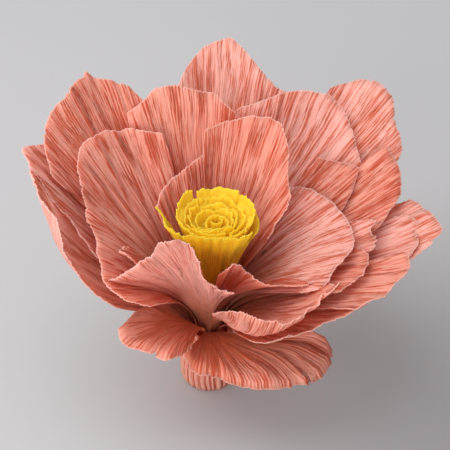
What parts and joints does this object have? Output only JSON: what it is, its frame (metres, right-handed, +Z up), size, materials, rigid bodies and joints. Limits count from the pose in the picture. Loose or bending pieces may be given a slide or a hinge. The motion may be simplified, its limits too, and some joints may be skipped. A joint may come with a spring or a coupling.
{
  "type": "crepe paper peony",
  "caption": "Open handmade crepe paper peony: wide coral petals in nested rounds about a rolled yellow centre, standing on a short gathered base.",
  "frame": {"origin": "centre of the gathered base's flat underside", "axes": "+Z up along the flower's stem, -Y towards the viewer of the reference view, +X to the viewer's right"},
  "size_m": [0.1836, 0.1622, 0.1343],
  "materials": {
    "petal_crepe": "matte",
    "centre_crepe": "matte",
    "base_crepe": "matte",
    "wire": "satin"
  },
  "bodies": {
    "root": {"inner_petal_back_right": "petal_crepe", "inner_petal_back_left": "petal_crepe", "inner_petal_front_right": "petal_crepe", "inner_petal_left": "petal_crepe", "middle_petal_right": "petal_crepe", "middle_petal_front_left": "petal_crepe", "middle_petal_back": "petal_crepe", "middle_petal_left": "petal_crepe", "middle_petal_front_right": "petal_crepe", "torn_petal_right": "petal_crepe", "folded_petal_right": "petal_crepe", "front_petal_right": "petal_crepe", "back_petal_left": "petal_crepe", "back_petal_right": "petal_crepe", "side_petal_right": "petal_crepe", "lower_petal_right": "petal_crepe", "outer_petal_left": "petal_crepe", "outer_petal_back": "petal_crepe", "outer_petal_back_right": "petal_crepe", "outer_petal_near_right": "petal_crepe", "outer_petal_front_right": "petal_crepe", "outer_petal_right": "petal_crepe", "cupped_petal_left": "petal_crepe", "curled_petal_front_left": "petal_crepe", "curled_petal_front": "petal_crepe", "centre_roll": "centre_crepe", "centre_wrap_front": "centre_crepe", "centre_wrap_left": "centre_crepe", "centre_wrap_right": "centre_crepe", "gathered_base": "base_crepe", "binding_wire": "wire"}
  },
  "joints": []
}
